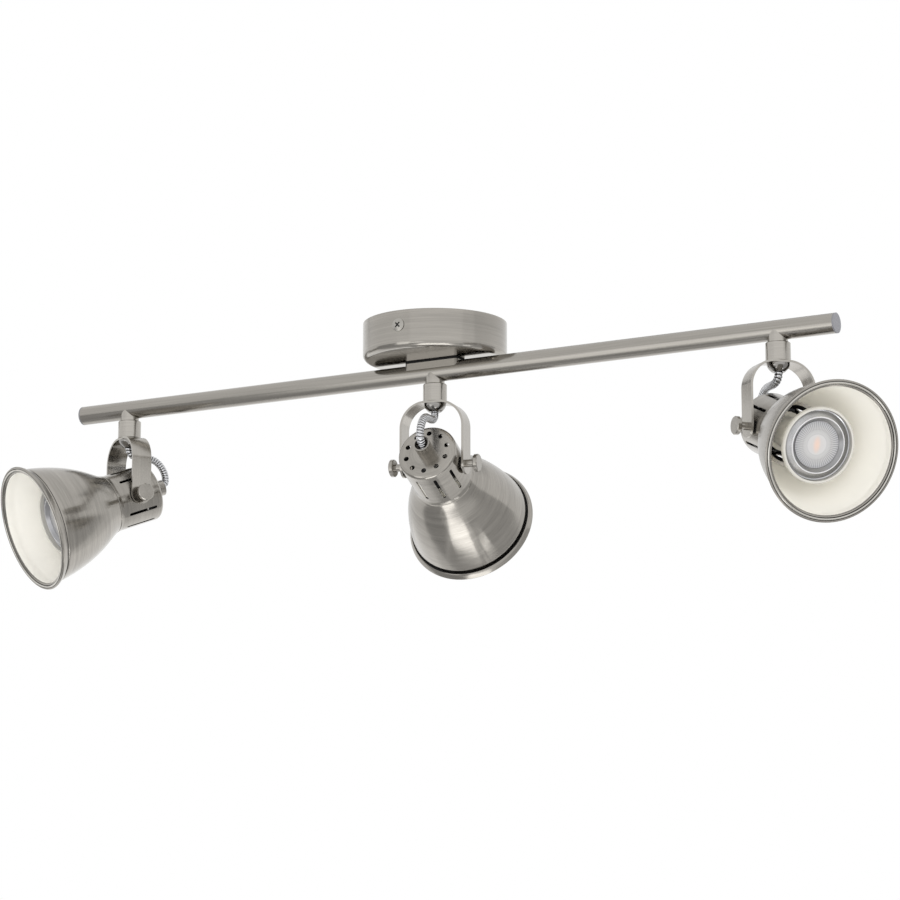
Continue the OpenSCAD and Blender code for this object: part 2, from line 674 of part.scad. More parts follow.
module flex_conduit(side) {
    stations = concat([[0, nipple_low - 0.3]], flex_route, [for (p = flex_tail) on_axis(p)]);
    last = flex_rings - 1;
    route = [for (i = [0:last]) along(stations, i * (len(stations) - 1) / last)];
    rings = [for (i = [0:last]) let (
        v = route[min(i + 1, last)] - route[max(i - 1, 0)],
        side_way = [-v.y, v.x] / norm(v))
        [for (k = [0:flex_sides - 1]) let (a = k * 360 / flex_sides, across = flex_d / 2 * cos(a))
            [flex_d / 2 * sin(a), route[i].x + side_way.x * across, route[i].y + side_way.y * across]]];
    points = [for (ring = rings, p = ring) p];
    walls = [for (i = [0:last - 1], k = [0:flex_sides - 1]) let (
        a = i * flex_sides + k, b = i * flex_sides + (k + 1) % flex_sides)
        [a, a + flex_sides, b + flex_sides, b]];
    ends = [[for (k = [0:flex_sides - 1]) k],
            [for (k = [flex_sides - 1:-1:0]) last * flex_sides + k]];
    color("silver") at_stem(side) polyhedron(points, concat(walls, ends));
}

// ---------------------------------------------------------------- parts

function wanted(name) = node == "all" || node == name;

if (wanted("canopy")) canopy();
if (wanted("ceiling_bracket")) ceiling_bracket();
if (wanted("canopy_screws")) canopy_screws();
if (wanted("bar_saddle")) bar_saddle();
if (wanted("saddle_gasket")) saddle_gasket();
if (wanted("hollow_bolts")) hollow_bolts();
if (wanted("bolt_nuts")) bolt_nuts();
if (wanted("bar_tube")) bar_tube();
if (wanted("end_plugs")) end_plugs();
if (wanted("stem_stubs")) stem_stubs();
if (wanted("stem_nipples")) stem_nipples();
if (wanted("terminal_block")) terminal_block();
if (wanted("bar_leads")) bar_leads();
for (i = [0:2]) {
    if (wanted(str(SIDES[i], "_swivel_collar"))) swivel_collar(i);
    if (wanted(str(SIDES[i], "_yoke"))) yoke(i);
    if (wanted(str(SIDES[i], "_cup_nut"))) cup_nut(i);
    if (wanted(str(SIDES[i], "_pivot_washers"))) pivot_washers(i);
    if (wanted(str(SIDES[i], "_thumb_screw_a"))) thumb_screw(i, 1);
    if (wanted(str(SIDES[i], "_thumb_screw_b"))) thumb_screw(i, -1);
    if (wanted(str(SIDES[i], "_rear_cap"))) rear_cap(i);
    if (wanted(str(SIDES[i], "_cable_tube"))) cable_tube(i);
    if (wanted(str(SIDES[i], "_shade"))) shade(i);
    if (wanted(str(SIDES[i], "_lampholder"))) lampholder(i);
    if (wanted(str(SIDES[i], "_holder_bracket"))) holder_bracket(i);
    if (wanted(str(SIDES[i], "_lamp_body"))) lamp_body(i);
    if (wanted(str(SIDES[i], "_lamp_bezel"))) lamp_bezel(i);
    if (wanted(str(SIDES[i], "_lamp_lens"))) lamp_lens(i);
    if (wanted(str(SIDES[i], "_flex_conduit"))) flex_conduit(i);
}
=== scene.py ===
import json
import math

import bpy
import numpy as np
from mathutils import Matrix, Quaternion, Vector


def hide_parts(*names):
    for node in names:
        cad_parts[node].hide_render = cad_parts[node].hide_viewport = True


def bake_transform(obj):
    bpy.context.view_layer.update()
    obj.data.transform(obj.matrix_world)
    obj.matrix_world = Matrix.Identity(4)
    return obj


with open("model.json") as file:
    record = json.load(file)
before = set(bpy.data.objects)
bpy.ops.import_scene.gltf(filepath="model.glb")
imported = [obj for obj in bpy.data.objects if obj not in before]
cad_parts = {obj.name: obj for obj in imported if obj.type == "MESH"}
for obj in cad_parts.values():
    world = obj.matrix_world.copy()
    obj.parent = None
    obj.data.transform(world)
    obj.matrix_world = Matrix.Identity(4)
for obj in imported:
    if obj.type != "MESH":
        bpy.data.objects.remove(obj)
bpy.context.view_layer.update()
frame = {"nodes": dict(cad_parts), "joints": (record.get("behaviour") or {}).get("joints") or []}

MM = 0.001    # the object's sizes are in millimetres, and the camera and the studio in metres
QUARTER = math.radians(90)
SIDES = ["left", "middle", "right"]
nodes = frame["nodes"]
joints = {joint["name"]: joint for joint in frame["joints"]}
scene = bpy.context.scene

# ---------------------------------------------------------------- places taken from the frame


def place_of(x, y, z, origin):
    """The place with those three axes and that origin."""
    place = Matrix((x, y, z)).transposed().to_4x4()
    place.translation = origin
    return place


def head_place(side):
    """The head's own axes: origin on the pivot, X along the thumb screws, Z the way the lamp looks."""
    tilt = joints[side + "_tilt"]
    x = Vector(tilt["axis"]).normalized()
    z = Vector(joints[side + "_lamp_turn"]["axis"]).normalized()
    if z.z > 0:
        z = -z
    return place_of(x, z.cross(x), z, Vector(tilt["pos_m"]))


def yoke_place(side):
    """The yoke's own axes: origin on the ceiling right above the pivot, X along the thumb screws, Z up."""
    tilt = joints[side + "_tilt"]
    x = Vector(tilt["axis"]).normalized()
    above_pivot = Vector((tilt["pos_m"][0], tilt["pos_m"][1], 0))
    return place_of(x, Vector((-x.y, x.x, 0)), Vector((0, 0, 1)), above_pivot)


HEAD = {side: head_place(side) for side in SIDES}
YOKE = {side: yoke_place(side) for side in SIDES}

# ---------------------------------------------------------------- smooth skins

CREASE = math.radians(26)
SAME_POINT = 1e-6


def skin_group():
    """Joins the facets of a turned or bent face into one smooth skin, with creases at its real edges."""
    group = bpy.data.node_groups.new("smooth_skin", "GeometryNodeTree")
    group.interface.new_socket("Mesh", in_out="INPUT", socket_type="NodeSocketGeometry")
    group.interface.new_socket("Mesh", in_out="OUTPUT", socket_type="NodeSocketGeometry")
    new, link = group.nodes.new, group.links.new
    start, end = new("NodeGroupInput"), new("NodeGroupOutput")
    bare = new("GeometryNodeRemoveAttribute")
    bare.inputs["Name"].default_value = "custom_normal"
    joined = new("GeometryNodeMergeByDistance")
    joined.inputs["Distance"].default_value = SAME_POINT
    faces = new("GeometryNodeSetShadeSmooth")
    edges = new("GeometryNodeSetShadeSmooth")
    edges.domain = "EDGE"
    angle = new("GeometryNodeInputMeshEdgeAngle")
    gentle = new("FunctionNodeCompare")
    gentle.data_type = "FLOAT"
    gentle.operation = "LESS_THAN"
    gentle.inputs["B"].default_value = CREASE
    link(start.outputs[0], bare.inputs[0])
    link(bare.outputs[0], joined.inputs[0])
    link(joined.outputs[0], faces.inputs[0])
    link(faces.outputs[0], edges.inputs[0])
    link(angle.outputs["Unsigned Angle"], gentle.inputs["A"])
    link(gentle.outputs[0], edges.inputs["Shade Smooth"])
    link(edges.outputs[0], end.inputs[0])
    return group


SKIN = skin_group()
for node in nodes.values():
    node.modifiers.new("smooth_skin", "NODES").node_group = SKIN
    flat_faces = node.modifiers.new("flat_faces", "WEIGHTED_NORMAL")
    flat_faces.mode = "FACE_AREA"
    flat_faces.keep_sharp = True

# ---------------------------------------------------------------- camera

CAMERA_PLACE = Vector((1.06611, -1.83766, -0.50195))
CAMERA_TURN = math.radians(29.84)
CAMERA_PITCH = math.radians(11.01)
CAMERA_LENS = 125.64
CAMERA_SENSOR = 36
CAMERA_NEAR = 0.05

camera_data = bpy.data.cameras.new("camera")
camera_data.lens = CAMERA_LENS
camera_data.sensor_width = CAMERA_SENSOR
camera_data.clip_start = CAMERA_NEAR
camera = bpy.data.objects.new("camera", camera_data)
camera.location = CAMERA_PLACE
camera.rotation_euler = (QUARTER + CAMERA_PITCH, 0, CAMERA_TURN)
scene.collection.objects.link(camera)
scene.camera = camera

# ---------------------------------------------------------------- conduits

# Each point is how far back from the stem, and the height.
CONDUIT_ROUTE = [(0, -60.4), (0, -63.2), (1.1, -65.9), (3.9, -67.9), (8.2, -68.7), (12.9, -68.8), (17.5, -69),
                 (21.6, -70.5), (25.2, -73.5), (27.9, -77.5), (29.2, -81.8), (28.9, -85.8)]
# Each point is how far ahead of the pivot along the head, and how far above the head's axis.
CONDUIT_TAIL = [(-27.8, 1), (-24, -0.4), (-20, -0.6), (-15, -0.1), (-5.6, 0)]
CONDUIT_R = 2.8
CURVE_STEPS = 24      # points from one point of the route to the next
COIL_PITCH = 1.9
COIL_GROOVE = 0.62
# The faces deep between two turns get painted shade.
COIL_SHADOW = 0.24    # share of the pitch that lies deep between two turns
COIL_FULLNESS = 0.7   # under 1 makes each turn of the wire fuller than a plain wave
COIL_STEPS = 12       # rings of points in each turn of the wire
COIL_SIDES = 32       # points in each ring


def in_yoke(side, back, height):
    return YOKE[side] @ Vector((0, back * MM, height * MM))


def in_head(side, ahead, up):
    return HEAD[side] @ Vector((0, up * MM, ahead * MM))


def smooth_line(points):
    """A smooth curve through the points."""
    curve = []
    last = len(points) - 1
    for i in range(last):
        a, b, c, d = (points[max(i - 1, 0)], points[i], points[i + 1], points[min(i + 2, last)])
        for u in np.arange(CURVE_STEPS) / CURVE_STEPS:
            curve.append(b + u / 2 * (c - a + u * (2 * a - 5 * b + 4 * c - d + u * (3 * (b - c) + d - a))))
    return np.array(curve + [points[last]])


def even_steps(line, step):
    """The line's points in even steps of length, and how far along the line each one is."""
    along = np.r_[0, np.cumsum(np.linalg.norm(np.diff(line, axis=0), axis=1))]
    count = int(along[-1] / step)
    at = np.linspace(0, along[-1], count + 1)
    return np.array([[np.interp(t, along, line[:, k]) for k in range(3)] for t in at]), at


def conduit_line(side):
    """Even points down the middle of the conduit, from the cup nut to the lampholder, and how far each is."""
    points = [in_yoke(side, *point) for point in CONDUIT_ROUTE]
    points += [in_head(side, *point) for point in CONDUIT_TAIL]
    return even_steps(smooth_line(np.array(points)), COIL_PITCH * MM / COIL_STEPS)


def coil_rings(side):
    """Rings of points along the conduit, and how many turns of the wire lie before each point."""
    line, at = conduit_line(side)
    across = np.array(YOKE[side].col[0][:3])
    run = np.gradient(line, axis=0)
    run /= np.linalg.norm(run, axis=1)[:, None]
    up = np.cross(across, run)
    angle = np.arange(COIL_SIDES) * 2 * math.pi / COIL_SIDES
    turns = at[:, None] / (COIL_PITCH * MM) - angle[None, :] / (2 * math.pi)
    ridge = np.abs(np.sin(math.pi * turns)) ** COIL_FULLNESS
    radius = (CONDUIT_R - COIL_GROOVE * (1 - ridge)) * MM
    spokes = (np.cos(angle)[None, :, None] * across[None, None, :]
              + np.sin(angle)[None, :, None] * up[:, None, :])
    return line[:, None, :] + radius[:, :, None] * spokes, turns


def tube_faces(rings):
    """The faces round a tube of rings, one ring after the other, and then its two flat ends."""
    faces = []
    for ring in range(rings - 1):
        for side in range(COIL_SIDES):
            here = ring * COIL_SIDES + side
            beside = ring * COIL_SIDES + (side + 1) % COIL_SIDES
            faces.append((here, beside, beside + COIL_SIDES, here + COIL_SIDES))
    faces.append(tuple(range(COIL_SIDES - 1, -1, -1)))
    faces.append(tuple((rings - 1) * COIL_SIDES + side for side in range(COIL_SIDES)))
    return faces


def between_turns(turns):
    """Whether each face of the tube lies deep between two turns of the wire, where it gets painted shade. Its
    flat ends don't.
    """
    middle = (turns[:-1] + turns[1:]) / 2 - 0.5 / COIL_SIDES
    deep = np.abs((middle + 0.5) % 1 - 0.5) < COIL_SHADOW / 2
    return np.r_[deep.ravel(), False, False]


def mesh_object(name, points, faces):
    """A piece in the scene, made from points in metres and the faces between them."""
    mesh = bpy.data.meshes.new(name)
    mesh.from_pydata([tuple(point) for point in points], [], faces)
    mesh.update()
    made = bpy.data.objects.new(name, mesh)
    scene.collection.objects.link(made)
    return made


def coil_hose(side):
    """A hose wound from one wire, so its outside is a helix of round ridges."""
    rings, turns = coil_rings(side)
    hose = mesh_object(side + "_coil_hose", rings.reshape(-1, 3), tube_faces(len(rings)))
    hose.data.shade_smooth()
    hose.data.polygons.foreach_set("material_index", between_turns(turns).astype(np.int32))
    return hose


HOSE = {side: coil_hose(side) for side in SIDES}
for side, hose in HOSE.items():
    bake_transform(hose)
    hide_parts(side + "_flex_conduit")

# ---------------------------------------------------------------- joining shader nodes


class Graph:
    """A tree of shader nodes, with short ways to add nodes and to join them."""

    def __init__(self, tree):
        self.new = tree.nodes.new
        self.link = tree.links.new

    def put(self, value, socket):
        """Gives a socket a plain value or another node's output. None leaves it as it is."""
        if hasattr(value, "is_linked"):
            self.link(value, socket)
        elif value is not None:
            socket.default_value = value

    def fill(self, node, **values):
        """Fills a node's sockets by name, with _ for a space, and gives its outputs."""
        for name, value in values.items():
            self.put(value, node.inputs[name.replace("_", " ")])
        return node.outputs

    def maths(self, operation, a, b=None):
        node = self.new("ShaderNodeMath")
        node.operation = operation
        self.put(a, node.inputs[0])
        self.put(b, node.inputs[1])
        return node.outputs[0]

    def split(self, vector):
        parts = self.fill(self.new("ShaderNodeSeparateXYZ"), Vector=vector)
        return parts["X"], parts["Y"], parts["Z"]

    def vector(self, x=None, y=None, z=None):
        return self.fill(self.new("ShaderNodeCombineXYZ"), X=x, Y=y, Z=z)[0]

    def length(self, x, y):
        """How far a spot lies from the Z axis."""
        node = self.new("ShaderNodeVectorMath")
        node.operation = "LENGTH"
        return self.fill(node, Vector=self.vector(x, y))["Value"]

    def noise(self, place, scale, detail, rough=0.5):
        node = self.new("ShaderNodeTexNoise")
        return self.fill(node, Vector=place, Scale=scale, Detail=detail, Roughness=rough)["Fac"]

    def spread(self, value, low, high):
        """A value from 0 to 1 as one from low to high."""
        node = self.new("ShaderNodeMapRange")
        return self.fill(node, Value=value, To_Min=low, To_Max=high)["Result"]

    def mix(self, factor, a, b, blend="MIX"):
        """Colour a, blended with colour b."""
        node = self.new("ShaderNodeMix")
        node.data_type = "RGBA"
        node.blend_type = blend
        return self.fill(node, Factor=factor, A=a, B=b)["Result"]

    def ramp(self, value, stops):
        """A shade or colour along a value. Each stop is a position, and the shade or colour there."""
        node = self.new("ShaderNodeValToRGB")
        elements = node.color_ramp.elements
        while len(elements) < len(stops):
            elements.new(0.5)
        for element, (at, shade) in zip(elements, stops):
            element.position = at
            element.color = (*shade, 1) if isinstance(shade, tuple) else (shade, shade, shade, 1)
        self.link(value, node.inputs[0])
        return node.outputs["Color"]

    def mapped(self, vector, kind="POINT", **values):
        node = self.new("ShaderNodeMapping")
        node.vector_type = kind
        return self.fill(node, Vector=vector, **values)[0]

    def group(self, tree, **values):
        node = self.new("ShaderNodeGroup")
        node.node_tree = tree
        return self.fill(node, **values)


# ---------------------------------------------------------------- shared effects

FACE_SHARE = 0.7          # how finely a turned piece's flat faces are marked, beside its round ones
MARKS_LOW = 0.28          # the noise from here
MARKS_HIGH = 0.72         # to here is spread over the whole strength of a mark
BLOTCH_SCALE = 0.08       # blotches of paint or plating to the millimetre


def effect(name, inputs, outputs):
    """A node group with its sockets: its tree, its graph, what comes in and what goes out."""
    tree = bpy.data.node_groups.new(name, "ShaderNodeTree")
    for socket, kind, value in inputs:
        made = tree.interface.new_socket(socket, in_out="INPUT", socket_type="NodeSocket" + kind)
        if value is not None:
            made.default_value = value
    for socket, kind in outputs:
        tree.interface.new_socket(socket, in_out="OUTPUT", socket_type="NodeSocket" + kind)
    start, end = tree.nodes.new("NodeGroupInput"), tree.nodes.new("NodeGroupOutput")
    return tree, Graph(tree), start.outputs, end.inputs


def turned_lay():
    """For a piece turned about Z: coordinates whose Z crosses the marks on its round and flat faces alike."""
    tree, graph, start, end = effect("turned_lay", [("Place", "Vector", None)], [("Lay", "Vector")])
    x, y, z = graph.split(start["Place"])
    across = graph.maths("ADD", z, graph.maths("MULTIPLY", graph.length(x, y), FACE_SHARE))
    graph.link(graph.vector(x, y, across), end["Lay"])
    return tree


def brush_marks():
    """Fine marks of an abrasive belt or pad, long one way and narrow the other, in broad uneven passes."""
    tree, graph, start, end = effect(
        "brush_marks", [("Lay", "Vector", None), ("Coarse", "Float", 0.5)],
        [("Marks", "Float"), ("Passes", "Float")])
    lay = start["Lay"]
    fine = graph.noise(lay, scale=1.0, detail=3.0, rough=0.65)
    coarse = graph.noise(lay, scale=0.22, detail=2.0)
    both = graph.fill(graph.new("ShaderNodeMix"), Factor=start["Coarse"], A=fine, B=coarse)["Result"]
    marks = graph.fill(graph.new("ShaderNodeMapRange"), Value=both, From_Min=MARKS_LOW, From_Max=MARKS_HIGH)
    graph.link(marks["Result"], end["Marks"])
    graph.link(graph.noise(lay, scale=0.06, detail=2.0), end["Passes"])
    return tree


def fine_grain():
    """The faint unevenness of paint, plastic, glaze or plated wire."""
    tree, graph, start, end = effect(
        "fine_grain", [("Place", "Vector", None), ("Size", "Float", 0.4)],
        [("Grain", "Float"), ("Mottle", "Float")])
    place = start["Place"]
    graph.link(graph.noise(place, scale=graph.maths("DIVIDE", 1.0, start["Size"]), detail=3.0), end["Grain"])
    graph.link(graph.noise(place, scale=BLOTCH_SCALE, detail=2.0), end["Mottle"])
    return tree


TURNED_LAY, BRUSH_MARKS, FINE_GRAIN = turned_lay(), brush_marks(), fine_grain()

# ---------------------------------------------------------------- kinds of finish

NICKEL = (0.35, 0.332, 0.303)
# A lighter copy of NICKEL for the collars, yoke strips and stem stubs: painted light.
LIT_NICKEL = (0.42, 0.4, 0.367)
BRUSH_STRETCH = 0.72      # how far a gleam is drawn out across the marks
BRUSH_BUMP = 0.12
BRUSH_DEPTH = 0.03        # of the marks, in millimetres, as in the two depths below
PASSES_SHARE = 0.25       # of a brushed finish's unevenness, beside the marks themselves
BRUSH_STRAY = 0.05        # how far the roughness strays either way, as in the two below
METAL_STRAY = 0.04
METAL_DEPTH = 0.03
PAINT_STRAY = 0.05
PAINT_DEPTH = 0.02
PAINT_GRAIN = 0.35
PAINT_CONTRAST = 0.025
PAINT_BUMP = 0.08


class Finish(Graph):
    """A material with one shader, and short ways to feed it."""

    def __init__(self, name, colour, **sockets):
        self.material = bpy.data.materials.new(name)
        self.material.use_nodes = True
        self.material.diffuse_color = (*colour, 1)
        super().__init__(self.material.node_tree)
        self.shader = self.material.node_tree.nodes["Principled BSDF"]
        self.colour = colour
        self.feed(Base_Color=(*colour, 1), **sockets)

    def feed(self, **sockets):
        self.fill(self.shader, **sockets)

    def place(self, place=Matrix()):
        """Millimetres in the piece's own axes."""
        world = self.new("ShaderNodeTexCoord").outputs["Object"]
        local = self.mapped(world, "TEXTURE", Location=place.translation, Rotation=place.to_euler())
        return self.mapped(local, Scale=(1 / MM, 1 / MM, 1 / MM))

    def tint(self, value, contrast):
        """The colour, from darker to lighter as the value goes from 0 to 1."""
        darker = tuple(part * (1 - contrast) for part in self.colour)
        lighter = tuple(part * (1 + contrast) for part in self.colour)
        return self.ramp(value, [(0, darker), (1, lighter)])

    def bump(self, height, strength, depth):
        node = self.new("ShaderNodeBump")
        self.feed(Normal=self.fill(node, Strength=strength, Distance=depth * MM, Height=height)[0])

    def around(self, local):
        """The direction round the Z axis."""
        x, y, _ = self.split(local)
        return self.vector(self.maths("MULTIPLY", y, -1), x)

    def in_world(self, direction, place):
        """A direction in the piece's own axes, turned to the scene's."""
        node = self.new("ShaderNodeVectorTransform")
        node.vector_type = "VECTOR"
        node.convert_from = "OBJECT"
        node.convert_to = "WORLD"
        return self.fill(node, Vector=self.mapped(direction, "VECTOR", Rotation=place.to_euler()))[0]

    def square_to(self, direction):
        """The way along the surface that is square to a direction."""
        node = self.new("ShaderNodeVectorMath")
        node.operation = "CROSS_PRODUCT"
        self.link(direction, node.inputs[0])
        self.link(self.new("ShaderNodeNewGeometry").outputs["Normal"], node.inputs[1])
        return node.outputs[0]


def brushed(name, colour=NICKEL, place=Matrix(), lay="turned", width=0.35, length=22, rough=0.19,
            contrast=0.13, coarse=0.35):
    """Brushed metal with marks of that width and length. They run round Z for lay turned and banded, and
    along X for lay drawn. Turned is for round pieces with flat faces too, and banded for walls along Z."""
    finish = Finish(name, colour, Metallic=1.0, Anisotropic=BRUSH_STRETCH)
    local = finish.place(place)
    if lay == "turned":
        turned = finish.group(TURNED_LAY, Place=local)
        scaled = finish.mapped(turned["Lay"], Scale=(1 / length, 1 / length, 1 / width))
        across = finish.square_to(finish.in_world(finish.around(local), place))
    elif lay == "drawn":
        scaled = finish.mapped(local, Scale=(1 / length, 1 / width, 1 / width))
        across = finish.square_to(finish.in_world(finish.vector(x=1), place))
    else:
        scaled = finish.mapped(local, Scale=(1 / length, 1 / length, 1 / width))
        across = finish.in_world(finish.vector(z=1), place)
    brush = finish.group(BRUSH_MARKS, Lay=scaled, Coarse=coarse)
    uneven = finish.maths("ADD", finish.maths("MULTIPLY", brush["Marks"], 1 - PASSES_SHARE),
                          finish.maths("MULTIPLY", brush["Passes"], PASSES_SHARE))
    finish.feed(Base_Color=finish.tint(uneven, contrast), Tangent=across,
                Roughness=finish.spread(uneven, rough - BRUSH_STRAY, rough + BRUSH_STRAY))
    finish.bump(brush["Marks"], BRUSH_BUMP, BRUSH_DEPTH)
    return finish.material


def plain_metal(name, colour, rough, grain=0.5, contrast=0.06, bump=0.0):
    """Polished, plated or drawn metal without brush marks."""
    finish = Finish(name, colour, Metallic=1.0)
    fine = finish.group(FINE_GRAIN, Place=finish.place(), Size=grain)
    finish.feed(Base_Color=finish.tint(fine["Mottle"], contrast),
                Roughness=finish.spread(fine["Grain"], rough - METAL_STRAY, rough + METAL_STRAY))
    if bump:
        finish.bump(fine["Grain"], bump, METAL_DEPTH)
    return finish.material


def moulded(name, colour, rough, **sockets):
    """Paint, plastic, rubber or glazed ceramic."""
    finish = Finish(name, colour, **sockets)
    fine = finish.group(FINE_GRAIN, Place=finish.place(), Size=PAINT_GRAIN)
    finish.feed(Base_Color=finish.tint(fine["Mottle"], PAINT_CONTRAST),
                Roughness=finish.spread(fine["Grain"], rough - PAINT_STRAY, rough + PAINT_STRAY))
    finish.bump(fine["Grain"], PAINT_BUMP, PAINT_DEPTH)
    return finish.material


# ---------------------------------------------------------------- finishes that pieces share

BLACK = (0.012, 0.012, 0.012)

steel = plain_metal("polished_nickel", (0.62, 0.61, 0.6), rough=0.1)
# A darker copy of polished nickel: painted shade for the dark things the cup nut mirrors.
cup_nickel_shaded = plain_metal("cup_nickel_shaded", (0.3, 0.29, 0.275), rough=0.1)
screw_nickel = plain_metal("screw_nickel", (0.4, 0.385, 0.355), rough=0.34)
zinc = plain_metal("zinc_plate", (0.6, 0.61, 0.62), rough=0.32, grain=1.5, contrast=0.12, bump=0.1)
# Zinc darkened to near black: painted shade on the lampholder's bracket inside the cap.
zinc_painted_shade = plain_metal("zinc_painted_shade", (0.07, 0.07, 0.074), rough=0.5, grain=1.5, contrast=0.12)
brass = plain_metal("brass", (0.7, 0.52, 0.26), rough=0.28)
wire = plain_metal("hose_wire", (0.66, 0.665, 0.68), rough=0.22, contrast=0.1)
# A darker copy of nickel: painted shade in the rings on the front of a shade's lip.
lip_ring_shade_nickel = plain_metal("lip_ring_shade_nickel", (0.15, 0.146, 0.136), rough=0.25)
# A lighter copy of nickel: a painted highlight on the bead of a shade's lip.
bead_highlight_nickel = plain_metal("bead_highlight_nickel", (0.6, 0.58, 0.54), rough=0.2)
# A darker metal: painted shade on the lamp bezel's cone.
cone_shade_grey = plain_metal("lamp_cone", (0.34, 0.34, 0.35), rough=0.3)
enamel = moulded("cream_enamel", (0.94, 0.92, 0.862), rough=0.42)
plug_grey = moulded("grey_plug", (0.2, 0.2, 0.215), rough=0.45)
ivory = moulded("terminal_plastic", (0.75, 0.72, 0.62), rough=0.4)
sheath = moulded("wire_sheath", (0.12, 0.05, 0.03), rough=0.45)
washer = moulded("washer_plastic", (0.03, 0.03, 0.032), rough=0.4)
rubber = moulded("black_rubber", BLACK, rough=0.7, Specular_IOR_Level=0.15)
# Black paint put where only shade falls: painted shadow.
shadow = moulded("painted_shadow", BLACK, rough=0.8)
ceramic = moulded("glazed_ceramic", (0.84, 0.81, 0.73), rough=0.25)
housing = moulded("lamp_housing", (0.88, 0.86, 0.8), rough=0.38)
# A darker copy of the housing colour: painted shade on the lamp's front edge.
lamp_edge_shaded = moulded("lamp_edge_shaded", (0.5, 0.487, 0.45), rough=0.38)
# A lighter grey: a painted highlight on the lamp bezel's crest.
crest_highlight_grey = moulded("lamp_crest_highlight", (0.56, 0.56, 0.57), rough=0.25)

# ---------------------------------------------------------------- choosing faces

LEANING = 0.5         # how far a face's normal leans one way before the face counts as facing it
NEARLY_SQUARE = 0.9   # the same for a face that is nearly square to it
SQUARE = 0.97         # and for one that is square to it


def paint(name, main, *others):
    """Gives a node its main finish, and to some of its faces the finish that comes with them."""
    mesh = nodes[name].data
    mesh.materials.clear()
    mesh.materials.append(main)
    index = np.zeros(len(mesh.polygons), dtype=np.int32)
    for number, (finish, faces) in enumerate(others, 1):
        mesh.materials.append(finish)
        index[faces] = number
    mesh.polygons.foreach_set("material_index", index)
    mesh.update()


def faces_of(name, place=Matrix()):
    """For each face of a node, in those axes: its centre's distance along Z and from Z, in millimetres,
    and how far its normal leans away from Z and along it."""
    mesh = nodes[name].data
    centre, normal = np.zeros(len(mesh.polygons) * 3), np.zeros(len(mesh.polygons) * 3)
    mesh.polygons.foreach_get("center", centre)
    mesh.polygons.foreach_get("normal", normal)
    turn = np.array(place.to_3x3())
    centre = (centre.reshape(-1, 3) - np.array(place.translation)) @ turn / MM
    normal = normal.reshape(-1, 3) @ turn
    radius = np.linalg.norm(centre[:, :2], axis=1)
    outward = (centre[:, :2] * normal[:, :2]).sum(1) / np.maximum(radius, SAME_POINT)
    return centre[:, 2], radius, outward, normal[:, 2]


def near(values, middle, reach):
    """Whether each value is less than the reach from the middle."""
    return np.abs(values - middle) < reach


def heights(name):
    """The lowest and the highest point of a node, in metres."""
    z = [vertex.co.z for vertex in nodes[name].data.vertices]
    return min(z), max(z)


# ---------------------------------------------------------------- ceiling pieces and bar

# Painted shade fills a canopy screw's cross recess between the two depths below, within RECESS_R of its axis.
RECESS_TOP = 0.4       # a canopy screw's cross recess is from this far behind its end
RECESS_FLOOR = 1.2     # to this far behind it
RECESS_R = 2.4
# How far below the saddle's top its band of painted shadow reaches, in millimetres.
TOP_SHADOW_BAND = 0.25


def painted_top_shadow(material, height):
    """Painted shadow under the gasket: the piece's colour turns black above a height in metres, along its top
    edge.
    """
    graph = Graph(material.node_tree)
    base = material.node_tree.nodes["Principled BSDF"].inputs["Base Color"]
    place = graph.new("ShaderNodeTexCoord").outputs["Object"]
    above = graph.maths("GREATER_THAN", graph.split(place)[2], height)
    graph.link(graph.mix(above, base.links[0].from_socket, (*BLACK, 1)), base)
    return material


def finish_canopy():
    """A brushed wall and a smoother flat underside."""
    wall = brushed("canopy_nickel", length=40, width=0.9, contrast=0.26, coarse=0.5)
    under = brushed("canopy_under_nickel", rough=0.11, contrast=0.08)
    upward = faces_of("canopy")[3]
    paint("canopy", wall, (under, upward < -SQUARE))


def finish_canopy_screws():
    """The two screws point along Y, and the faces inside their cross recesses get painted shade."""
    low, high = heights("canopy_screws")
    screws = Matrix.Translation((0, 0, (low + high) / 2)) @ Matrix.Rotation(QUARTER, 4, "X")
    along, radius, _, _ = faces_of("canopy_screws", screws)
    reach = np.abs(along)
    depth = reach.max() - reach
    paint("canopy_screws", screw_nickel,
          (shadow, (depth > RECESS_TOP) & (depth < RECESS_FLOOR) & (radius < RECESS_R)))


def finish_saddle():
    """Marks run along the saddle, as on the bar, with a band of painted shadow along its top edge under the
    gasket.
    """
    metal = brushed("saddle_nickel", lay="drawn")
    paint("bar_saddle", painted_top_shadow(metal, heights("bar_saddle")[1] - TOP_SHADOW_BAND * MM))
    paint("saddle_gasket", rubber)


def finish_bar():
    """A drawn tube, with marks round its stubs."""
    paint("bar_tube", brushed("bar_nickel", lay="drawn", length=60, width=0.8, contrast=0.2))
    paint("end_plugs", plug_grey)
    paint("stem_stubs", brushed("stub_nickel", LIT_NICKEL, lay="banded"))


def finish_hidden_pieces():
    """What is inside the canopy, the bar and the collars."""
    paint("ceiling_bracket", zinc)
    paint("hollow_bolts", brass)
    paint("bolt_nuts", brass)
    paint("stem_nipples", brass)
    paint("terminal_block", ivory)
    paint("bar_leads", sheath)


finish_canopy()
finish_canopy_screws()
finish_saddle()
finish_bar()
finish_hidden_pieces()

# ---------------------------------------------------------------- yoke, conduit and rear cap of a head

CAP_SKIN = 1.5         # a little more than the thickness of the cap's rear
CAP_BORE_R = 6         # the cable tube's hole stays inside this


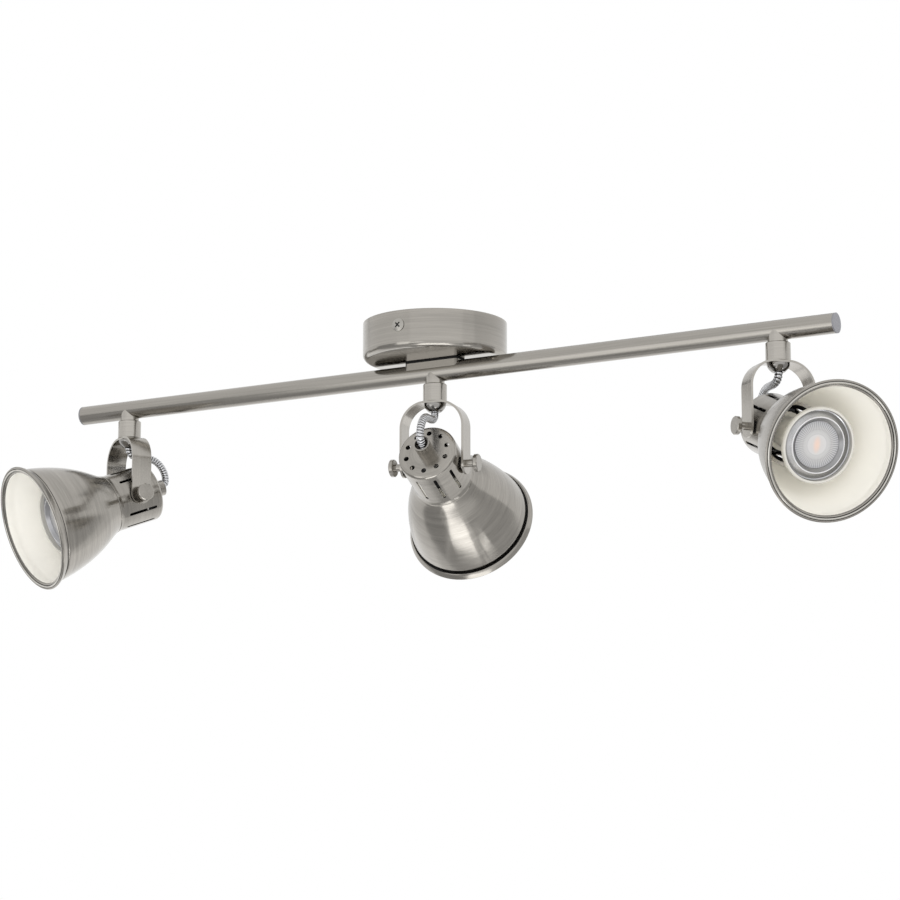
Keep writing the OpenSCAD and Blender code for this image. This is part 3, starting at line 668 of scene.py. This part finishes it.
def finish_yoke(side):
    """Marks run round the collar and along the bent strip."""
    across_strip = YOKE[side] @ Matrix.Rotation(-QUARTER, 4, "X")
    collar = brushed(side + "_collar_nickel", LIT_NICKEL, place=YOKE[side], lay="banded")
    strip = brushed(side + "_strip_nickel", LIT_NICKEL, place=across_strip, lay="banded",
                    length=30, width=0.3)
    paint(side + "_swivel_collar", collar)
    paint(side + "_yoke", strip)
    paint(side + "_cup_nut", cup_nickel_shaded)


def finish_pivots(side):
    """Turned marks run round each thumb screw's knob."""
    along_screws = HEAD[side] @ Matrix.Rotation(QUARTER, 4, "Y")
    for screw in ("a", "b"):
        knob = brushed(side + "_knob_nickel_" + screw, place=along_screws, length=6)
        paint(side + "_thumb_screw_" + screw, knob)
    paint(side + "_pivot_washers", washer)


def finish_hose(side):
    """Bright wire, and painted shade between its turns."""
    HOSE[side].data.materials.append(wire)
    HOSE[side].data.materials.append(shadow)


def finish_cap(side, turned):
    """Turned nickel outside, and painted shadow on its inside wall and floor."""
    along, radius, outward, forward = faces_of(side + "_rear_cap", HEAD[side])
    from_rear = along - along.min()
    wall = (from_rear > CAP_SKIN) & (outward < -LEANING)
    bottom = (from_rear < CAP_SKIN) & (forward > NEARLY_SQUARE)
    paint(side + "_rear_cap", turned, (shadow, (wall | bottom) & (radius > CAP_BORE_R)))
    paint(side + "_cable_tube", turned)


# ---------------------------------------------------------------- shade of a head

# In millimetres ahead of the pivot, or from the head's axis.
BELL_BACK = 19.2
BELL_FRONT = 73.75
MOUTH_R = 41.15
HOLLOW_BACK = 74
HOLLOW_IN_R = 41.5
HOLLOW_OUT_R = 43.3
LIP_FACE = 78
# Each ring of painted shade on the front of the lip is its radius, and how far it reaches to either side.
LIP_SHADE_RINGS = [(44.2, 0.25), (42.575, 0.21), (41.43, 0.1)]
# The bead's band of painted highlight: its radius, and how far it reaches to either side.
LIP_BEAD = (43.4, 0.58)


def finish_shade(side, turned):
    """Turned nickel outside and cream inside. The deep hollow behind the lip gets painted shadow, and the
    fine rings on its front get painted shade and a painted highlight.
    """
    along, radius, outward, forward = faces_of(side + "_shade", HEAD[side])
    behind_lip = along < LIP_FACE
    within_bell = (along > BELL_BACK) & ((along < BELL_FRONT) | (radius < MOUTH_R))
    inside = behind_lip & within_bell & (outward < -LEANING)
    # The hollow's faces behind the lip get painted shadow.
    within_hollow = (along > HOLLOW_BACK) & (radius > HOLLOW_IN_R) & (radius < HOLLOW_OUT_R)
    hollow = behind_lip & within_hollow & (outward < LEANING)
    groove = ~behind_lip & np.any([near(radius, *ring) for ring in LIP_SHADE_RINGS], axis=0)
    bead = ~behind_lip & ~groove & near(radius, *LIP_BEAD) & (forward > LEANING)
    paint(side + "_shade", turned,
          (enamel, inside), (shadow, hollow), (lip_ring_shade_nickel, groove), (bead_highlight_nickel, bead))


# ---------------------------------------------------------------- lamp of a head

# In millimetres ahead of the pivot, or from the head's axis.
PINS_R = 8.5           # no pin reaches this far out
# The lamp's foot behind this gets painted shadow.
FOOT_SHADE_FRONT = 12.5
# The lamp's front edge ahead of this gets painted shade.
EDGE_SHADE_BACK = 57
FACE_GAP = 0.05        # what is farther than this behind the base's rear face is a pin
BEZEL_GREY = (0.52, 0.52, 0.53)
RIM_WIDTH = 4          # of the bezel, around its cone
CREST_R = 17.9
CREST_REACH = 0.5      # of the crest, to either side of its radius

LENS_R = 15.1
LENS_GREY = (0.44, 0.44, 0.45)
LENS_PALE = (0.43, 0.425, 0.425)
LENS_RING = (0.38, 0.375, 0.38)
CHIP_WARM = (0.62, 0.43, 0.34, 1)
CHIP_SLIMNESS = 2.2    # the chip's length in widths
# Each stop is a share of the lens's radius, and what is there: the colour of the frosted face, how warm
# the chip makes it, and how strong its ribs are.
FROSTED = [(0.0, (0.47, 0.45, 0.44)), (0.24, (0.46, 0.445, 0.44)), (0.42, (0.47, 0.465, 0.465)),
           (0.45, LENS_RING), (0.49, LENS_PALE), (0.62, LENS_PALE), (0.65, LENS_RING), (0.69, LENS_PALE),
           (0.85, (0.43, 0.43, 0.44)), (1.0, (0.34, 0.34, 0.355))]
CHIP_GLOW = [(0.0, 0.8), (0.2, 0.6), (0.42, 0.0)]
RIBBED = [(0.0, 0.0), (0.45, 0.1), (0.65, 0.6), (0.8, 1), (0.95, 1), (1.0, 0.6)]
RIBS = 60
RIB_SHADE = 0.5        # how much of the colour is left between two ribs
RIB_STRENGTH = 0.8
RIB_BUMP = 0.3
RIB_DEPTH = 0.2


def lens_face(name, place):
    """The frosted lens of a lamp, ribbed near its edge, with the warm chip showing through its middle."""
    finish = Finish(name, LENS_GREY, Roughness=0.3, Coat_Weight=0.5, Coat_Roughness=0.08)
    x, y, _ = finish.split(finish.place(place))
    radius = finish.maths("DIVIDE", finish.length(x, y), LENS_R)
    from_chip = finish.maths("DIVIDE", finish.length(finish.maths("MULTIPLY", x, CHIP_SLIMNESS), y), LENS_R)
    warmed = finish.mix(finish.ramp(from_chip, CHIP_GLOW), finish.ramp(radius, FROSTED), CHIP_WARM)
    angle = finish.maths("MULTIPLY", finish.maths("ARCTAN2", y, x), RIBS)
    rib = finish.spread(finish.maths("SINE", angle), RIB_SHADE, 1)
    ribbed = finish.ramp(radius, RIBBED)
    shaded = finish.mix(finish.maths("MULTIPLY", ribbed, RIB_STRENGTH), warmed, rib, "MULTIPLY")
    finish.feed(Base_Color=shaded)
    finish.bump(finish.maths("MULTIPLY", rib, ribbed), RIB_BUMP, RIB_DEPTH)
    return finish.material


def finish_lampholder(side):
    """Glazed ceramic with painted shade on its side, and a bracket of zinc darkened as painted shade."""
    outward = faces_of(side + "_lampholder", HEAD[side])[2]
    paint(side + "_lampholder", ceramic, (shadow, outward > LEANING))
    paint(side + "_holder_bracket", zinc_painted_shade)


def finish_lamp(side):
    """A cream housing with steel pins, painted shadow on its foot and painted shade on its front edge, and
    its lens.
    """
    along, radius, _, _ = faces_of(side + "_lamp_body", HEAD[side])
    pins = along < along[radius > PINS_R].min() - FACE_GAP
    paint(side + "_lamp_body", housing,
          (steel, pins), (lamp_edge_shaded, along > EDGE_SHADE_BACK), (shadow, ~pins & (along < FOOT_SHADE_FRONT)))
    paint(side + "_lamp_lens", lens_face(side + "_lens", HEAD[side]))


def finish_bezel(side):
    """A brushed rim with a painted highlight on its crest, round a cone darkened as painted shade."""
    rim = brushed(side + "_lamp_bezel", BEZEL_GREY, place=HEAD[side], length=40, width=0.7, rough=0.22,
                  contrast=0.3)
    _, radius, outward, forward = faces_of(side + "_lamp_bezel", HEAD[side])
    cone = (outward < -LEANING) & (radius < radius.max() - RIM_WIDTH)
    crest = ~cone & (forward > LEANING) & near(radius, CREST_R, CREST_REACH)
    paint(side + "_lamp_bezel", rim, (cone_shade_grey, cone), (crest_highlight_grey, crest))


for side in SIDES:
    turned = brushed(side + "_turned_nickel", place=HEAD[side], length=16, width=0.9,
                     contrast=0.3, coarse=0.45)
    finish_yoke(side)
    finish_pivots(side)
    finish_hose(side)
    finish_cap(side, turned)
    finish_shade(side, turned)
    finish_lampholder(side)
    finish_lamp(side)
    finish_bezel(side)

# ---------------------------------------------------------------- studio

MIDDLE = Vector((0, 0, -0.08))
BOX_DISTANCE = 2.4
CARD_DISTANCE = 2.5
FLOOR_Z = -2.9
FLOOR_WIDTH = 12
FLOOR_WHITE = (0.93, 0.93, 0.93)


def toward(azimuth, elevation, distance):
    """The point in that direction from the middle of the object. Azimuth 0 is behind it, at +Y."""
    a, e = math.radians(azimuth), math.radians(elevation)
    return MIDDLE + distance * Vector((math.sin(a) * math.cos(e), math.cos(a) * math.cos(e), math.sin(e)))


def turn_to_object(thing, azimuth, elevation, distance, roll):
    """Puts a lamp or a card in that direction, turned to face the object and rolled on its own axis."""
    thing.location = toward(azimuth, elevation, distance)
    facing = (MIDDLE - thing.location).to_track_quat("-Z", "Y")
    thing.rotation_euler = (facing @ Quaternion((0, 0, 1), math.radians(roll))).to_euler()


def soft_box(name, azimuth, elevation, width, height, brightness, roll=0, distance=BOX_DISTANCE):
    """A flat lamp for the metal to mirror. It sheds no light on matt surfaces."""
    data = bpy.data.lights.new(name, "AREA")
    data.shape = "RECTANGLE"
    data.size = width
    data.size_y = height
    data.energy = brightness * math.pi * width * height
    box = bpy.data.objects.new(name, data)
    box.visible_diffuse = False
    scene.collection.objects.link(box)
    turn_to_object(box, azimuth, elevation, distance, roll)
    return box


def sheet(name, width, height, z=0):
    """A flat level rectangle."""
    w, h = width / 2, height / 2
    return mesh_object(name, [(-w, -h, z), (w, -h, z), (w, h, z), (-w, h, z)], [(0, 1, 2, 3)])


def sheer(name, shade):
    """A material that lets a share of the light through."""
    material = bpy.data.materials.new(name)
    material.use_nodes = True
    tree = material.node_tree
    tree.nodes.remove(tree.nodes["Principled BSDF"])
    clear = tree.nodes.new("ShaderNodeBsdfTransparent")
    clear.inputs["Color"].default_value = (shade, shade, shade, 1)
    tree.links.new(clear.outputs[0], tree.nodes["Material Output"].inputs["Surface"])
    return material


def grey_card(name, azimuth, elevation, width, height, shade, roll=0, distance=CARD_DISTANCE):
    """A sheer card that only reflections pass, so that the metal has something darker to mirror."""
    card = sheet(name, width, height)
    card.data.materials.append(sheer(name, shade))
    card.visible_camera = False
    card.visible_diffuse = False
    card.visible_transmission = False
    card.visible_shadow = False
    turn_to_object(card, azimuth, elevation, distance, roll)


soft_box("low_box", 153, -78, width=1.4, height=1.4, brightness=1.75)
soft_box("side_strip", -155, -20, width=0.9, height=2.0, brightness=0.6, roll=-17)
soft_box("small_low_box", 68, -56, width=0.26, height=0.6, brightness=2.2, roll=20)
soft_box("front_screen", 148, 12, width=4.2, height=0.9, brightness=0.14)
soft_box("far_screen", -9, -21, width=2.9, height=2.0, brightness=0.22)
soft_box("left_strip", -58, -20, width=0.7, height=1.65, brightness=0.3, roll=16)
soft_box("front_strip", 184, -25, width=1.25, height=0.6, brightness=0.53, roll=14)
# Each card stands a little farther off than the one before, so that no two cards meet.
grey_card("left_card", -119, -34, width=2.0, height=3.4, shade=0.47, roll=-16)
grey_card("right_card", 68, -27, width=2.5, height=3.9, shade=0.59, roll=-8, distance=2.55)
grey_card("low_card", -29, -73, width=2.0, height=1.75, shade=0.53, roll=-12, distance=2.6)
grey_card("top_card", -77, 31, width=0.6, height=1.3, shade=0.02, roll=-18, distance=2.65)
grey_card("front_card", -162, -49, width=0.75, height=1.1, shade=0.44, roll=11, distance=2.7)
grey_card("ceiling_strip", 6, 48, width=3.8, height=0.44, shade=0.3, roll=-12, distance=2.75)
# This one lights matt surfaces, such as the insides of the shades, and no metal mirrors it.
mouth_fill = soft_box("mouth_fill", 132, -17, width=5.0, height=4.2, brightness=1.05, distance=2.6)
mouth_fill.visible_glossy = False
mouth_fill.visible_diffuse = True

# The world is plain white, at its own strength of 1.
world = bpy.data.worlds.new("studio")
world.use_nodes = True
world.node_tree.nodes["Background"].inputs["Color"].default_value = (1, 1, 1, 1)
scene.world = world

floor = sheet("floor", FLOOR_WIDTH, FLOOR_WIDTH, FLOOR_Z)
floor.data.materials.append(Finish("floor_paper", FLOOR_WHITE, Roughness=0.8).material)
floor.visible_glossy = False

scene.view_settings.view_transform = "Standard"
